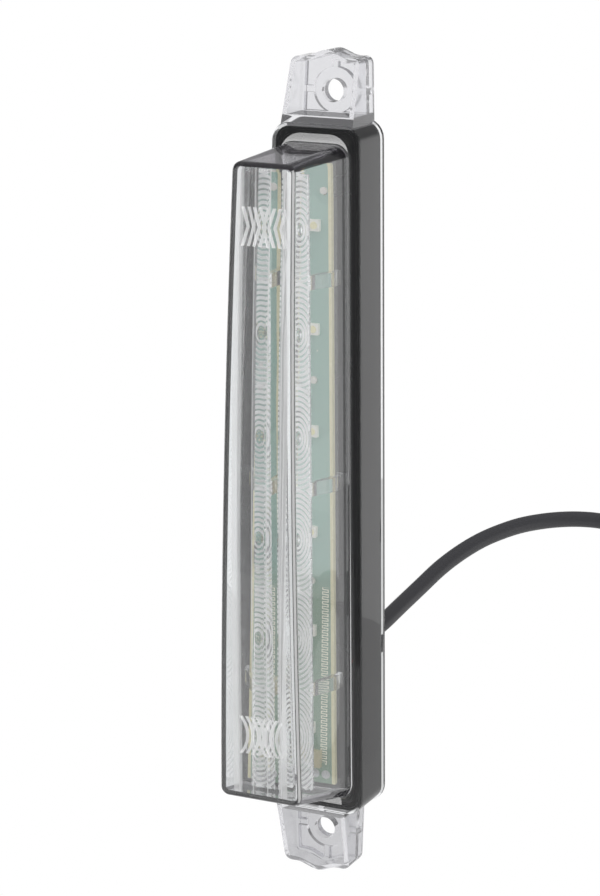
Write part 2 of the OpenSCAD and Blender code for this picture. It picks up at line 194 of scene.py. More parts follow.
def dress(obj: Piece, material: Material) -> None:
    """Give a piece one material in place of those it has.

    Args:
        obj: the piece.
        material: its material.
    """
    obj.data.materials.clear()
    obj.data.materials.append(material)
    log.info("%s: %s", obj.name, material.name)


def stand_for(obj: Piece, slot: str, *nodes: str) -> None:
    """Make a new piece ride on the lamp's one body in place of the frame's nodes.

    Args:
        obj: the new piece.
        slot: the record's material slot; not used.
        nodes: the names of the nodes that it stands for.
    """
    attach(obj, "root")
    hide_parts(*nodes)


# Finishes


@dataclass(frozen=True)
class Finish:
    """A named material, whose surface each real finish lays down in its own way."""

    name: str

    def surface(self, tree: Tree) -> Node:
        """Add the nodes of the surface and return its shader."""
        raise NotImplementedError

    def build(self) -> Material:
        """Make the material.

        Returns:
            The material, which holds nothing but the surface.
        """
        material = bpy.data.materials.new(self.name)
        material.use_nodes = True
        tree = material.node_tree
        tree.nodes.clear()
        add_node(tree, "OutputMaterial", {}, {"Surface": self.surface(tree)})
        return material


class Spot:
    """What a finish reads at each point: its place in the piece, and which way its face looks."""

    def __init__(self, tree: Tree) -> None:
        """Add the nodes that read the point.

        Wide and high are distances from the middle. Across, along and lift say how much the
        face looks along X, Y and Z, either way.

        Args:
            tree: the node tree they go into.
        """
        shape = add_node(tree, "NewGeometry").outputs
        self.place = add_node(tree, "TexCoord").outputs["Object"]
        self.inner_side = shape["Backfacing"]
        self.x, self.y, self.z = add_node(tree, "SeparateXYZ", {}, {0: self.place}).outputs
        faces = add_node(tree, "SeparateXYZ", {}, {0: shape["True Normal"]}).outputs
        self.facing = faces["Y"]
        self.wide, self.high, self.across, self.along, self.lift = (
            add_node(tree, "Math", {"operation": "ABSOLUTE"}, {0: value})
            for value in (self.x, self.z, *faces))


@dataclass(frozen=True)
class ClearAcrylic(Finish):
    """Injection-moulded PMMA, polished tool: water-clear, with a faint flow ripple.

    It shows the white room in its faces and bends what is behind it. Shadow rays pass it, as
    light does in the real lamp, so that the board inside is lit.
    """

    name: str = "clear_acrylic"
    tint: str = "#f9fafb"
    roughness: float = 0.012
    ior: float = 1.49
    # Hazier in the thick dome than in the thin skirt, with a short change between the two
    clear: float = 0.955
    clear_inside: float = 0.984
    skirt_clear: float = 0.996
    rim_mm: Tuple[float, float] = (15.9, 16.9)
    shade: float = 0.99
    ripple: float = 0.02
    ripple_mm: float = 0.6
    ripples_per_m: float = 90.0
    # The screw tabs lie beyond this height
    tab_mm: float = 99.0
    tab_tint: str = "#e2e2e5"
    tab_clear: float = 0.93
    tab_roughness: float = 0.07
    # The dome's end walls lie beyond this height, and their slopes tell them from the edges; both get
    # painted shade
    end_mm: float = 82.0
    painted_end_shade: str = "#c4c1c7"
    end_slopes: Tuple[float, float] = (0.25, 0.95)
    painted_edge_shade: str = "#77757b"
    matt_roughness: float = 0.5

    def body(self, tree: Tree, spot: Spot) -> Node:
        """Shade the plastic itself.

        Args:
            tree: the node tree it goes into.
            spot: what is read at each point.

        Returns:
            The shader that eyes, mirrors and lenses see.
        """
        wave = add_node(tree, "TexNoise", {}, {
            "Vector": spot.place, "Scale": self.ripples_per_m, "Detail": 1.0})
        bump = add_node(tree, "Bump", {}, {
            "Height": wave, "Strength": self.ripple, "Distance": self.ripple_mm * MM})
        # The thick dome is a little hazy, and the thin skirt is clean
        skin = add_node(tree, "MapRange", {}, {
            "Value": spot.inner_side, "To Min": self.clear, "To Max": self.clear_inside})
        haze = add_node(tree, "MapRange", {}, {
            "Value": spot.y, "From Min": -self.rim_mm[1] * MM, "From Max": -self.rim_mm[0] * MM,
            "To Min": skin, "To Max": self.skirt_clear})
        # The eye looks through more of the plastic in the tabs' walls and ribs
        tab = where_all(tree, [(spot.high, Than.MORE, self.tab_mm * MM)])
        tint = add_node(tree, "Mix", COLOURS, {
            0: tab, 6: linear(self.tint), 7: linear(self.tab_tint)})
        milky = add_node(tree, "Mix", NUMBERS, {0: tab, 2: haze, 3: self.tab_clear})
        rough = add_node(tree, "Mix", NUMBERS, {0: tab, 2: self.roughness, 3: self.tab_roughness})
        # Painted shade: the dome's upper end wall is tinted darker, and both ends' rounded front edges
        # darker still
        end = where_all(tree, [(spot.lift, Than.MORE, self.end_slopes[0]),
                               (spot.high, Than.MORE, self.end_mm * MM),
                               (spot.y, Than.LESS, -self.rim_mm[1] * MM)])
        flat = where_all(tree, [(spot.lift, Than.MORE, self.end_slopes[1])])
        upper = where_all(tree, [(spot.z, Than.MORE, 0.0)])
        wall = add_node(tree, "Mix", COLOURS, {
            0: upper, 6: linear(self.tint), 7: linear(self.painted_end_shade)})
        painted_shade = add_node(tree, "Mix", COLOURS, {0: flat, 6: linear(self.painted_edge_shade), 7: wall})
        colour = add_node(tree, "Mix", COLOURS, {0: end, 6: tint, 7: painted_shade})
        return add_node(tree, "BsdfPrincipled", {}, {
            "Base Color": colour, "Roughness": rough, "IOR": self.ior,
            "Transmission Weight": milky, "Normal": bump})

    def frosted(self, tree: Tree, plain: Node, amount: Node) -> Node:
        """Lay matt white over part of the clear plastic.

        Args:
            tree: the node tree it goes into.
            plain: the clear plastic's shader.
            amount: how much of the white covers each point.

        Returns:
            The shader of both.
        """
        matt = add_node(tree, "BsdfDiffuse", {}, {
            "Color": linear(WHITE), "Roughness": self.matt_roughness})
        return add_node(tree, "MixShader", {}, {0: amount, 1: plain, 2: matt})

    def surface(self, tree: Tree) -> Node:
        """Let shadow rays pass the body.

        Args:
            tree: the node tree it goes into.

        Returns:
            The shader.
        """
        passes = add_node(tree, "BsdfTransparent", {}, {"Color": (*[self.shade] * 3, 1.0)})
        path = add_node(tree, "LightPath").outputs
        return add_node(tree, "MixShader", {}, {
            0: path["Is Shadow Ray"], 1: self.body(tree, Spot(tree)), 2: passes})


class Prism(Enum):
    """Which way the fine upright prisms in the cover's front face lean."""

    LEFT = -1
    RIGHT = 1


@dataclass(frozen=True)
class PrismaticAcrylic(ClearAcrylic):
    """The cover's PMMA, whose three inner flutes carry upright prisms finer than the mesh.

    The prisms give the eye three upright bands, each with its own view of the parts inside.
    Matt faces give it white chevrons and thin lines between the bands; matt white also paints
    highlights on its long front edges and on the ledge behind the dome.
    """

    name: str = "prismatic_acrylic"
    # The fluted inside of the front, which faces into the lamp
    flutes: int = 3
    flute_mm: float = 4.35
    front_mm: float = 44.0
    inward: float = 0.6
    # Where each band of prisms begins, and how many degrees its flanks lean
    edges_mm: Tuple[float, ...] = (-6.5, -1.4, 2.7, 5.4)
    tilts: Tuple[float, ...] = (33.0, 44.5, 43.8, 20.0)
    right_share: float = 0.2
    # Chevron bars: half the width of a patch, and the heights between which it stands
    frost: float = 0.8
    bars_mm: Tuple[float, float, float] = (6.6, 60.0, 82.0)
    bar_slope: float = 0.5
    bar_faces_mm: Tuple[float, float] = (46.72, 46.95)
    bar_faces: float = 0.72
    # Lines where flutes meet, at so many flutes from the middle
    line_mm: float = 0.35
    lines_at: Tuple[float, float] = (0.5, 1.47)
    line: float = 0.64
    # Margins beside the flutes, and the long front edges past them
    margin_mm: Tuple[float, float] = (5.7, 8.2)
    margin: float = 0.5
    ridge_slopes: Point = (0.72, 0.975, 0.2)
    ridge: float = 0.24
    # Ledge behind the dome: half its width, its top and its bottom
    ledge_mm: Point = (10.4, 97.4, 95.2)
    ledge_depth_mm: Tuple[float, float] = (15.2, 16.4)
    ledge_corner: float = 0.6
    ledge: float = 0.24

    def lean(self, tree: Tree, x: Value, side: Prism) -> Node:
        """Turn the face's normal into that of the prisms' flanks on one side.

        Args:
            tree: the node tree it goes into.
            x: distance to the right of the front's middle, in metres, mirrored for one side.
            side: the side that the flanks face.

        Returns:
            The node that gives the normal, looking into the lamp.
        """
        total: Value = 0.0
        last = 0.0
        for edge, tilt in zip(self.edges_mm, self.tilts):
            over = where_all(tree, [(x, Than.MORE, edge * MM)])
            total = add_node(tree, "Math", {"operation": "MULTIPLY_ADD"}, {
                0: over, 1: math.radians(tilt - last), 2: total})
            last = tilt
        sine = add_node(tree, "Math", {"operation": "SINE"}, {0: total})
        cosine = add_node(tree, "Math", {"operation": "COSINE"}, {0: total})
        turned = add_node(tree, "Math", {"operation": "MULTIPLY"}, {0: sine, 1: float(side.value)})
        return add_node(tree, "CombineXYZ", {}, {0: turned, 1: cosine})

    def prisms(self, tree: Tree, spot: Spot, turn: Node) -> Node:
        """Shade the prisms, whose two flanks are too fine to tell apart.

        Args:
            tree: the node tree it goes into.
            spot: what is read at each point.
            turn: 1 on the outer side of the plastic, and -1 on the inner one.

        Returns:
            The shader of both flanks.
        """
        mirrored = add_node(tree, "Math", {"operation": "MULTIPLY"}, {0: spot.x, 1: -1.0})
        flanks = []
        for side, x in ((Prism.LEFT, spot.x), (Prism.RIGHT, mirrored)):
            normal = add_node(tree, "VectorMath", {"operation": "SCALE"}, {
                0: self.lean(tree, x, side), "Scale": turn})
            flanks.append(add_node(tree, "BsdfPrincipled", {}, {
                "Base Color": linear(self.tint), "Roughness": self.roughness, "IOR": self.ior,
                "Transmission Weight": self.clear, "Normal": normal}))
        return add_node(tree, "MixShader", {}, {0: self.right_share, 1: flanks[0], 2: flanks[1]})

    def ledge_mask(self, tree: Tree, spot: Spot) -> Node:
        """Find the round-cornered ledge between the rim and the dome's ends.

        Args:
            tree: the node tree it goes into.
            spot: what is read at each point.

        Returns:
            The node that gives the mask.
        """
        half, top, bottom = self.ledge_mm
        corner = half * self.ledge_corner
        beside, above = (
            add_node(tree, "Math", {"operation": "SUBTRACT", "use_clamp": True}, {
                0: value, 1: (limit - corner) * MM})
            for value, limit in ((spot.wide, half), (spot.z, top)))
        arc = add_node(tree, "CombineXYZ", {}, {0: beside, 1: above})
        reach = add_node(tree, "VectorMath", {"operation": "LENGTH"}, {0: arc})
        return where_all(tree, [(reach, Than.LESS, corner * MM),
                                (spot.z, Than.MORE, -bottom * MM),
                                (spot.y, Than.LESS, -self.ledge_depth_mm[0] * MM),
                                (spot.y, Than.MORE, -self.ledge_depth_mm[1] * MM)])

    def body(self, tree: Tree, spot: Spot) -> Node:
        """Shade plain acrylic, prisms over the flutes and the matt faces.

        Args:
            tree: the node tree it goes into.
            spot: what is read at each point.

        Returns:
            The shader that eyes, mirrors and lenses see.
        """
        # Normals are given towards the eye, so they are turned back on the inner side
        turn = add_node(tree, "Math", {"operation": "MULTIPLY_ADD"}, {
            0: spot.inner_side, 1: -2.0, 2: 1.0})
        looks_in = add_node(tree, "Math", {"operation": "MULTIPLY"}, {0: spot.facing, 1: turn})
        inner = (looks_in, Than.MORE, self.inward)
        front = (spot.y, Than.LESS, -self.front_mm * MM)
        half = self.flutes / 2 * self.flute_mm
        fluted = where_all(tree, [inner, (spot.wide, Than.LESS, half * MM), front])
        clear = add_node(tree, "MixShader", {}, {
            0: fluted, 1: super().body(tree, spot), 2: self.prisms(tree, spot, turn)})
        # The chevron bars' flanks are the only steep faces inside the front
        flanks = where_all(tree, [(spot.along, Than.LESS, self.bar_slope),
                                  (spot.wide, Than.LESS, self.bars_mm[0] * MM),
                                  (spot.high, Than.MORE, self.bars_mm[1] * MM),
                                  (spot.high, Than.LESS, self.bars_mm[2] * MM), front])
        # Their own faces stand further in than the flutes, by a step that differs at the ends
        low, high = self.bar_faces_mm
        upper = where_all(tree, [(spot.z, Than.MORE, 0.0)])
        depth = add_node(tree, "Math", {"operation": "MULTIPLY_ADD"}, {
            0: upper, 1: (low - high) * MM, 2: -low * MM})
        bars = where_all(tree, [(spot.y, Than.MORE, depth)], fluted)
        # Plain margins beside the flutes, whose fine grooves scatter the light
        margins = where_all(tree, [inner, (spot.wide, Than.MORE, self.margin_mm[0] * MM),
                                   (spot.wide, Than.LESS, self.margin_mm[1] * MM), front])
        # Painted highlight: matt white on the sides of the two long front edges, for the light they
        # catch
        ridges = where_all(tree, [(spot.across, Than.MORE, self.ridge_slopes[0]),
                                  (spot.across, Than.LESS, self.ridge_slopes[1]),
                                  (spot.along, Than.MORE, self.ridge_slopes[2]),
                                  (spot.wide, Than.MORE, self.margin_mm[0] * MM), front])
        # Painted highlight: matt white on the ledge, for the pale reflected light there
        ledge = self.ledge_mask(tree, spot)
        layers = [(bars, self.bar_faces), (margins, self.margin), (ridges, self.ridge),
                  (ledge, self.ledge), (flanks, self.frost)]
        # Thin bright line where two flutes meet
        for edge in self.lines_at:
            off = add_node(tree, "Math", {"operation": "SUBTRACT"}, {
                0: spot.wide, 1: edge * self.flute_mm * MM})
            near = add_node(tree, "Math", {"operation": "ABSOLUTE"}, {0: off})
            layers.append((where_all(tree, [(near, Than.LESS, self.line_mm / 2 * MM)], fluted),
                           self.line))
        amount: Value = 0.0
        for mask, share in layers:
            amount = add_node(tree, "Math", {"operation": "MULTIPLY_ADD", "use_clamp": True}, {
                0: mask, 1: share, 2: amount})
        return self.frosted(tree, clear, amount)


@dataclass(frozen=True)
class RingLens(ClearAcrylic):
    """PMMA of the ring-lens strip, whose ridges' outer flanks carry matt white as a painted highlight.

    The eye gets white rings round each LED, with a clear eye in the middle that shows the board.
    """

    name: str = "ring_lens_acrylic"
    clear: float = 0.98
    cell_mm: float = 29.0
    ring_mm: float = 1.45
    eye_mm: float = 1.6
    squash: float = 0.54
    face_mm: float = 26.0
    frost: float = 0.95
    # Where a ridge's matt flank begins, in turns from the ridge before
    flank: Tuple[float, float] = (0.34, 0.5)
    veil: Tuple[float, float] = (0.02, 0.16)
    veil_mm: Tuple[float, float] = (4.0, 13.0)
    matt_roughness: float = 0.4

    def body(self, tree: Tree, spot: Spot) -> Node:
        """Shade clear acrylic with matt rings.

        Args:
            tree: the node tree it goes into.
            spot: what is read at each point.

        Returns:
            The shader that eyes, mirrors and lenses see.
        """
        cell = add_node(tree, "Math", {"operation": "WRAP"}, {
            0: spot.z, 1: self.cell_mm * MM, 2: 0.0})
        centred = add_node(tree, "Math", {"operation": "SUBTRACT"}, {
            0: cell, 1: self.cell_mm / 2 * MM})
        wider = add_node(tree, "Math", {"operation": "DIVIDE"}, {0: spot.x, 1: self.squash})
        flat = add_node(tree, "CombineXYZ", {}, {0: wider, 1: centred})
        radius = add_node(tree, "VectorMath", {"operation": "LENGTH"}, {0: flat})
        turns = add_node(tree, "Math", {"operation": "DIVIDE"}, {0: radius, 1: self.ring_mm * MM})
        phase = add_node(tree, "Math", {"operation": "FRACT"}, {0: turns})
        # The rings run together between the cells
        veil = add_node(tree, "MapRange", {}, {
            "Value": radius, "From Min": self.veil_mm[0] * MM, "From Max": self.veil_mm[1] * MM,
            "To Min": self.veil[0], "To Max": self.veil[1]})
        # Painted highlight: matt white on each ridge's outer flank, thinning to a veil between the
        # cells
        band = add_node(tree, "MapRange", SMOOTH, {
            "Value": phase, "From Min": self.flank[0], "From Max": self.flank[1],
            "To Min": veil, "To Max": self.frost})
        ringed = where_all(tree, [(radius, Than.MORE, self.eye_mm * MM),
                                  (spot.y, Than.LESS, -self.face_mm * MM)])
        amount = add_node(tree, "Math", {"operation": "MULTIPLY"}, {0: ringed, 1: band})
        return self.frosted(tree, super().body(tree, spot), amount)


@dataclass(frozen=True)
class GrainedFinish(Finish):
    """Moulded plastic, foam, fired ceramic or dull tin, whose grain breaks its highlight up.

    The eye gets a soft sheen that is a little glossier in some places than in others.
    """

    colour: str
    roughness: float = 0.4
    grain_mm: float = 0.25
    grain: float = 0.12
    grain_depth_mm: float = 0.05
    patches_per_m: float = 60.0
    patches: Tuple[float, float] = (0.9, 1.12)

    def paint(self, tree: Tree, spot: Spot) -> Value:
        """Give the colour, the same all over."""
        return linear(self.colour)

    def surface(self, tree: Tree) -> Node:
        """Shade the grained surface.

        Args:
            tree: the node tree it goes into.

        Returns:
            The shader.
        """
        spot = Spot(tree)
        fine = add_node(tree, "TexNoise", {}, {
            "Vector": spot.place, "Scale": 1.0 / (self.grain_mm * MM), "Detail": 3.0})
        bump = add_node(tree, "Bump", {}, {
            "Height": fine, "Strength": self.grain, "Distance": self.grain_depth_mm * MM})
        broad = add_node(tree, "TexNoise", {}, {
            "Vector": spot.place, "Scale": self.patches_per_m, "Detail": 2.0})
        rough = add_node(tree, "MapRange", {}, {
            "Value": broad, "To Min": self.roughness * self.patches[0],
            "To Max": self.roughness * self.patches[1]})
        return add_node(tree, "BsdfPrincipled", {}, {
            "Base Color": self.paint(tree, spot), "Roughness": rough, "Normal": bump})


@dataclass(frozen=True)
class HousingPlastic(GrainedFinish):
    """Black ABS of the housing, whose board pins went pale where they were melted over."""

    name: str = "black_abs"
    colour: str = "#101012"
    roughness: float = 0.36
    pin: str = "#dcdad2"
    pin_mm: float = 16.5

    def paint(self, tree: Tree, spot: Spot) -> Node:
        """Colour the pins' heads, which are the only part so far forward.

        Args:
            tree: the node tree it goes into.
            spot: what is read at each point.

        Returns:
            The node that gives the colour.
        """
        head = where_all(tree, [(spot.y, Than.LESS, -self.pin_mm * MM)])
        return add_node(tree, "Mix", COLOURS, {0: head, 6: linear(self.colour), 7: linear(self.pin)})


@dataclass(frozen=True)
class SolderMask(Finish):
    """Board face: glossy green mask over copper, with the bare cream laminate at its edges.

    The eye gets a green field with paler tracks and a thin cream line along the cut edge.
    """

    name: str = "solder_mask"
    mask: str = "#80ac9d"
    track: str = "#8bb5a6"
    # Painted shade of the board's lower part
    low: str = "#6c8e74"
    laminate: Tuple[str, str] = ("#f1ecc4", "#d6cf9c")
    pad: str = "#fbf8e4"
    roughness: float = 0.28
    # Outline of the face, which widens downwards
    half_mm: float = 6.0
    slope: float = 3.6 / 198
    margin_mm: float = 0.9
    face_mm: float = 16.5
    vias_per_m: float = 120.0
    via_scatter: float = 0.8
    via: float = 0.045
    # Meander track beside the lower edge
    meander_x_mm: Tuple[float, float] = (3.3, 5.0)
    meander_z_mm: Tuple[float, float] = (-83.0, -30.6)
    pitch_mm: float = 1.42
    stroke: float = 0.2
    link_mm: float = 0.14
    # Copper under the mask, and the heights over which painted shade darkens the board's lower part
    pours_per_m: float = 45.0
    pour: float = 0.52
    lower_shade_mm: Tuple[float, float] = (-22.0, -34.0)
    weaves_per_m: float = 900.0
    relief: float = 0.25
    relief_mm: float = 0.04

    def meander(self, tree: Tree, spot: Spot) -> Node:
        """Draw the meander track: cross strokes, joined at alternate ends.

        Args:
            tree: the node tree it goes into.
            spot: what is read at each point.

        Returns:
            The node that gives the track's mask.
        """
        left, right = self.meander_x_mm
        bottom, top = self.meander_z_mm
        rows = add_node(tree, "Math", {"operation": "DIVIDE"}, {0: spot.z, 1: self.pitch_mm / 2 * MM})
        wave = add_node(tree, "Math", {"operation": "PINGPONG"}, {0: rows, 1: 0.5})
        stroke = where_all(tree, [(wave, Than.LESS, self.stroke)])
        row = add_node(tree, "Math", {"operation": "FLOOR"}, {0: rows})
        parity = add_node(tree, "Math", {"operation": "FLOORED_MODULO"}, {0: row, 1: 2.0})
        odd = where_all(tree, [(parity, Than.MORE, 0.5)])
        link_x = add_node(tree, "Math", {"operation": "MULTIPLY_ADD"}, {
            0: odd, 1: (right - left) * MM, 2: left * MM})
        off = add_node(tree, "Math", {"operation": "SUBTRACT"}, {0: spot.x, 1: link_x})
        near = add_node(tree, "Math", {"operation": "ABSOLUTE"}, {0: off})
        link = where_all(tree, [(near, Than.LESS, self.link_mm * MM)])
        drawn = add_node(tree, "Math", {"operation": "MAXIMUM"}, {0: stroke, 1: link})
        return where_all(tree, [(spot.x, Than.MORE, (left - self.link_mm) * MM),
                                (spot.x, Than.LESS, (right + self.link_mm) * MM),
                                (spot.z, Than.MORE, bottom * MM),
                                (spot.z, Than.LESS, top * MM)], drawn)

    def surface(self, tree: Tree) -> Node:
        """Shade the board.

        Args:
            tree: the node tree it goes into.

        Returns:
            The shader.
        """
        spot = Spot(tree)
        cells = add_node(tree, "TexVoronoi", {"feature": "F1", "distance": "EUCLIDEAN"}, {
            "Vector": spot.place, "Scale": self.vias_per_m, "Randomness": self.via_scatter})
        vias = where_all(tree, [(cells, Than.LESS, self.via)])
        copper = add_node(tree, "Math", {"operation": "MAXIMUM"}, {
            0: vias, 1: self.meander(tree, spot)})
        pours = add_node(tree, "TexNoise", {}, {
            "Vector": spot.place, "Scale": self.pours_per_m, "Detail": 0.0})
        pour = where_all(tree, [(pours, Than.MORE, self.pour)])
        green = add_node(tree, "Mix", COLOURS, {0: pour, 6: linear(self.mask), 7: linear(self.track)})
        # Painted shade: the board's lower part is a darker green
        lower_shade = add_node(tree, "MapRange", SMOOTH, {
            "Value": spot.z, "From Min": self.lower_shade_mm[0] * MM,
            "From Max": self.lower_shade_mm[1] * MM})
        field = add_node(tree, "Mix", COLOURS, {0: lower_shade, 6: green, 7: linear(self.low)})
        face = add_node(tree, "Mix", COLOURS, {0: copper, 6: field, 7: linear(self.pad)})
        # The laminate is bare along the slanted edges and on all that lies behind the face
        reach = add_node(tree, "Math", {"operation": "MULTIPLY_ADD"}, {
            0: spot.z, 1: self.slope, 2: spot.wide})
        rim = where_all(tree, [(reach, Than.MORE, (self.half_mm - self.margin_mm) * MM)])
        behind = where_all(tree, [(spot.y, Than.MORE, -self.face_mm * MM)])
        bare = add_node(tree, "Math", {"operation": "MAXIMUM"}, {0: rim, 1: behind})
        weave = add_node(tree, "TexNoise", {}, {
            "Vector": spot.place, "Scale": self.weaves_per_m, "Detail": 3.0})
        cream = add_node(tree, "Mix", COLOURS, {
            0: weave, 6: linear(self.laminate[0]), 7: linear(self.laminate[1])})
        paint = add_node(tree, "Mix", COLOURS, {0: bare, 6: face, 7: cream})
        bump = add_node(tree, "Bump", {}, {
            "Height": copper, "Strength": self.relief, "Distance": self.relief_mm * MM})
        return add_node(tree, "BsdfPrincipled", {}, {
            "Base Color": paint, "Roughness": self.roughness, "Normal": bump})


@dataclass(frozen=True)
class LedPackage(Finish):
    """White moulded package with a yellow phosphor dome in its middle.

    The eye gets a pale block and a warm yellow spot on each.
    """

    name: str = "led_package"
    case: str = "#f3f1e8"
    phosphor: Tuple[str, str] = ("#ebe4ac", "#f2eab8")
    roughness: float = 0.35
    case_mm: float = 17.95
    grains_per_m: float = 2500.0

    def surface(self, tree: Tree) -> Node:
        """Shade the package and its dome, which stands out of the case.

        Args:
            tree: the node tree it goes into.

        Returns:
            The shader.
        """
        spot = Spot(tree)
        dome = where_all(tree, [(spot.y, Than.LESS, -self.case_mm * MM)])
        grit = add_node(tree, "TexNoise", {}, {
            "Vector": spot.place, "Scale": self.grains_per_m, "Detail": 2.0})
        warm = add_node(tree, "Mix", COLOURS, {
            0: grit, 6: linear(self.phosphor[0]), 7: linear(self.phosphor[1])})
        paint = add_node(tree, "Mix", COLOURS, {0: dome, 6: linear(self.case), 7: warm})
        return add_node(tree, "BsdfPrincipled", {}, {
            "Base Color": paint, "Roughness": self.roughness})


@dataclass(frozen=True)
class StudioPaper(Finish):
    """Pale backdrop paper, which the eye sees as white, and mirrors and lenses a little darker."""

    name: str = "studio_floor"
    colour: str = "#e9e9e8"
    roughness: float = 0.9
    glow: float = 0.72

    def surface(self, tree: Tree) -> Node:
        """Shade the paper, and glow towards the rays that show it.

        Args:
            tree: the node tree it goes into.

        Returns:
            The shader.
        """
        paper = add_node(tree, "BsdfPrincipled", {}, {
            "Base Color": linear(self.colour), "Roughness": self.roughness})
        path = add_node(tree, "LightPath").outputs
        level = add_node(tree, "Mix", NUMBERS, {0: path["Is Camera Ray"], 2: self.glow, 3: 1.0})
        glow = add_node(tree, "Emission", {}, {"Color": linear(WHITE), "Strength": level})
        mirror = add_node(tree, "Math", {"operation": "MAXIMUM"}, {
            0: path["Is Glossy Ray"], 1: path["Is Transmission Ray"]})
        seen = add_node(tree, "Math", {"operation": "MAXIMUM"}, {0: path["Is Camera Ray"], 1: mirror})
        return add_node(tree, "MixShader", {}, {0: seen, 1: paper, 2: glow})


# Camera and studio


@dataclass
class Viewpoint:
    """The photograph's camera, from a least-squares fit of the lamp's outline."""

    target: Point = (-11.01, 0.0, 4.54)
    azimuth: float = 24.92
    elevation: float = 13.77
    distance: float = 805.94
    roll: float = 0.48
    lens: float = 112.88
    nearest: float = 10.0
    farthest: float = 50000.0

    def build(self) -> None:
        """Place the camera and make it the scene's."""
        a, e = math.radians(self.azimuth), math.radians(self.elevation)
        back = Vector((math.sin(a) * math.cos(e), -math.cos(a) * math.cos(e), math.sin(e)))
        data = bpy.data.cameras.new("camera")
        data.lens = self.lens
        data.clip_start, data.clip_end = self.nearest * MM, self.farthest * MM
        camera = bpy.data.objects.new("camera", data)
        bpy.context.scene.collection.objects.link(camera)
        turn = back.to_track_quat("Z", "Y").to_matrix().to_4x4()
        place = Matrix.Translation(Vector(self.target) * MM + back * self.distance * MM)
        camera.matrix_world = place @ turn @ Matrix.Rotation(math.radians(self.roll), 4, "Z")
        bpy.context.scene.camera = camera


@dataclass
class SoftBox:
    """One large soft lamp that faces the middle of the scene."""

    name: str
    place: Point
    size: Tuple[float, float]
    watts: float

    def build(self) -> None:
        """Hang the lamp, whose place and size are in metres."""
        data = bpy.data.lights.new(self.name, "AREA")
        data.shape = "RECTANGLE"
        data.size, data.size_y = self.size
        data.energy = self.watts
        light = bpy.data.objects.new(self.name, data)
        bpy.context.scene.collection.objects.link(light)
        look = Vector(self.place).to_track_quat("Z", "Y").to_matrix().to_4x4()
        light.matrix_world = Matrix.Translation(Vector(self.place)) @ look
        # The clear cover mirrors the white room and not the lamps' own outlines
        light.visible_glossy = light.visible_transmission = False


@dataclass
class Studio:
    """White surroundings, a pale floor well below the lamp, and soft lights."""

    floor_z: float = -450.0
    floor_half: float = 1.25
    room: float = 1.0
    behind_camera: float = 0.16
    depth: Tuple[float, float] = (-0.4, 0.35)
    ceiling: float = 0.28
    ceiling_from: float = 0.22
    boxes: Sequence[SoftBox] = (
        SoftBox("soft_box_top", (0.1, -0.4, 1.5), (2.2, 2.0), 24.0),
        SoftBox("soft_box_right", (1.4, -0.9, 0.5), (1.6, 2.0), 14.0),
        SoftBox("soft_box_left", (-1.3, -1.1, 0.4), (1.6, 2.0), 10.0))

    def world(self) -> None:
        """Light the scene from all round.

        The eye sees white. Mirrors and lenses see white behind the lamp, and a dimmer room
        behind the camera and overhead, which gives the clear faces their greys.
        """
        world = bpy.data.worlds.new("studio")
        bpy.context.scene.world = world
        world.use_nodes = True
        tree = world.node_tree
        tree.nodes.clear()
        where = add_node(tree, "TexCoord").outputs["Generated"]
        axis = add_node(tree, "SeparateXYZ", {}, {0: where}).outputs
        depth = add_node(tree, "MapRange", SMOOTH, {
            "Value": axis["Y"], "From Min": self.depth[0], "From Max": self.depth[1],
            "To Min": self.behind_camera, "To Max": 1.0})
        above = add_node(tree, "MapRange", SMOOTH, {
            "Value": axis["Z"], "From Min": 0.0, "From Max": self.ceiling_from,
            "To Min": 1.0, "To Max": self.ceiling})
        around = add_node(tree, "Math", {"operation": "MULTIPLY"}, {0: depth, 1: above})
        path = add_node(tree, "LightPath").outputs
        mirror = add_node(tree, "Math", {"operation": "MAXIMUM"}, {
            0: path["Is Glossy Ray"], 1: path["Is Transmission Ray"]})
        soft = add_node(tree, "Mix", NUMBERS, {0: mirror, 2: self.room, 3: around})
        seen = add_node(tree, "Mix", NUMBERS, {0: path["Is Camera Ray"], 2: soft, 3: 1.0})
        sky = add_node(tree, "Background", {}, {"Color": linear(WHITE), "Strength": seen})
        add_node(tree, "OutputWorld", {}, {"Surface": sky})

    def floor(self) -> None:
        """Lay the pale floor, whose half width is in metres."""
        deselect_all()
        bpy.ops.mesh.primitive_plane_add(size=2 * self.floor_half, location=(0, 0, self.floor_z * MM))
        plane = bpy.context.object
        plane.name = "studio_floor"
        dress(plane, StudioPaper().build())

    def build(self) -> None:
        """Make the whole studio."""
        self.world()
        self.floor()
        for box in self.boxes:
            box.build()


# The lead


